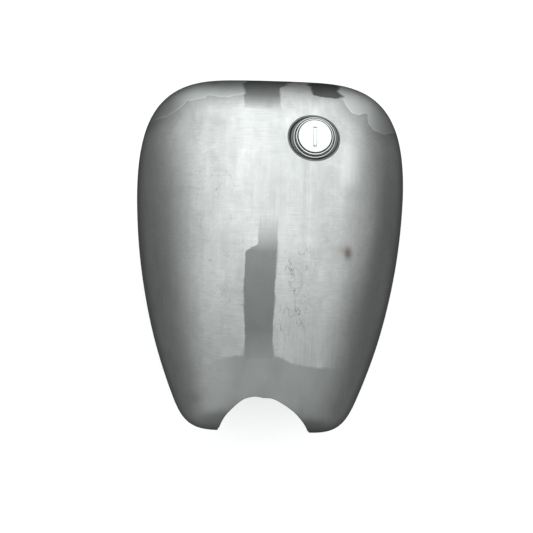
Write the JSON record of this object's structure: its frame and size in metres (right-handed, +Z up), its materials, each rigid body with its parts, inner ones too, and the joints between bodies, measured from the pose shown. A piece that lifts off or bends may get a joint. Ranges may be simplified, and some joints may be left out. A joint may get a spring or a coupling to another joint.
{
  "type": "motorcycle fuel tank",
  "caption": "Wide flat-topped motorcycle fuel tank in bare brushed steel, with a frame tunnel, a scalloped rear edge, a screw filler cap and a lever petcock.",
  "frame": {"origin": "centre of the front mounting bolt, on the centreline between the two front ears", "axes": "+X rider's right, along the mounting bolts; +Y forwards along the tank's length; +Z up"},
  "size_m": [0.425, 0.5621, 0.2632],
  "materials": {
    "bare_steel": "bare sheet steel, brushed lengthwise and unlacquered, with faint scratches",
    "weld_steel": "weld metal ground flush, slightly duller than the sheet",
    "inner_steel": "pressed sheet steel, plain mill finish",
    "mount_steel": "plate steel, lightly blasted",
    "zinc_steel": "zinc plated steel",
    "polished_chrome": "mirror chrome plating",
    "cast_alloy": "die cast alloy, satin",
    "brass": "turned brass",
    "mesh": "fine woven filter mesh",
    "black_rubber": "black fuel-proof rubber",
    "black_plastic": "black acetal"
  },
  "bodies": {
    "tank": {"left_shell": "bare_steel", "right_shell": "bare_steel", "seam_weld": "weld_steel", "notch_plate": "inner_steel", "tunnel": "inner_steel", "left_floor_pan": "inner_steel", "right_floor_pan": "inner_steel", "front_mount_ears": "mount_steel", "rear_mount_ears": "mount_steel", "front_grommets": "black_rubber", "rear_grommets": "black_rubber", "front_sleeves": "zinc_steel", "rear_sleeves": "zinc_steel", "crossover_bungs": "mount_steel", "crossover_barbs": "brass", "filler_recess": "bare_steel", "filler_neck": "zinc_steel", "petcock_bung": "mount_steel", "petcock_seal": "black_rubber", "petcock_nut": "polished_chrome", "petcock_body": "cast_alloy", "strainer": "mesh", "standpipe": "brass", "valve_gasket": "black_rubber", "wave_washer": "zinc_steel", "lever_plate": "polished_chrome", "lever_plate_screws": "zinc_steel", "petcock_spout": "brass"},
    "cap_seal": {"cap_gasket": "black_rubber", "cap_slip_washer": "zinc_steel"},
    "cap": {"cap_body": "polished_chrome", "cap_disc": "polished_chrome", "cap_disc_screws": "zinc_steel", "cap_handle_pin": "zinc_steel", "vent_cage": "zinc_steel", "vent_spring": "zinc_steel"},
    "cap_handle": {"cap_handle": "polished_chrome"},
    "vent": {"vent_poppet": "black_plastic"},
    "valve": {"valve_rotor": "cast_alloy", "petcock_lever": "polished_chrome"}
  },
  "joints": [
    {"name": "cap_lift", "type": "slide", "parent": "tank", "child": "cap_seal", "axis": [0.068, 0.225, 0.972], "range_m": [0, 0.0452]},
    {"name": "cap_turn", "type": "hinge", "parent": "cap_seal", "child": "cap", "pos_m": [0.066, -0.038, 0.18249], "axis": [0.068, 0.225, 0.972], "range_deg": [0, 4050]},
    {"name": "cap_handle_flip", "type": "hinge", "parent": "cap", "child": "cap_handle", "pos_m": [0.06613, -0.02506, 0.18432], "axis": [-0.9976, 0, 0.0698], "range_deg": [0, 90]},
    {"name": "vent_slide", "type": "slide", "parent": "cap", "child": "vent", "axis": [-0.068, -0.225, -0.972], "range_m": [0, 0.0012], "stiffness_N_per_m": 60, "springref_m": -0.002, "deforming": ["vent_spring"]},
    {"name": "petcock_turn", "type": "hinge", "parent": "tank", "child": "valve", "pos_m": [-0.104, -0.334, -0.029], "axis": [-1, 0, 0], "range_deg": [0, 180]}
  ],
  "couplings": [
    {"joint": "cap_lift", "follows": "cap_turn", "m_per_rad": 0.00063662}
  ]
}
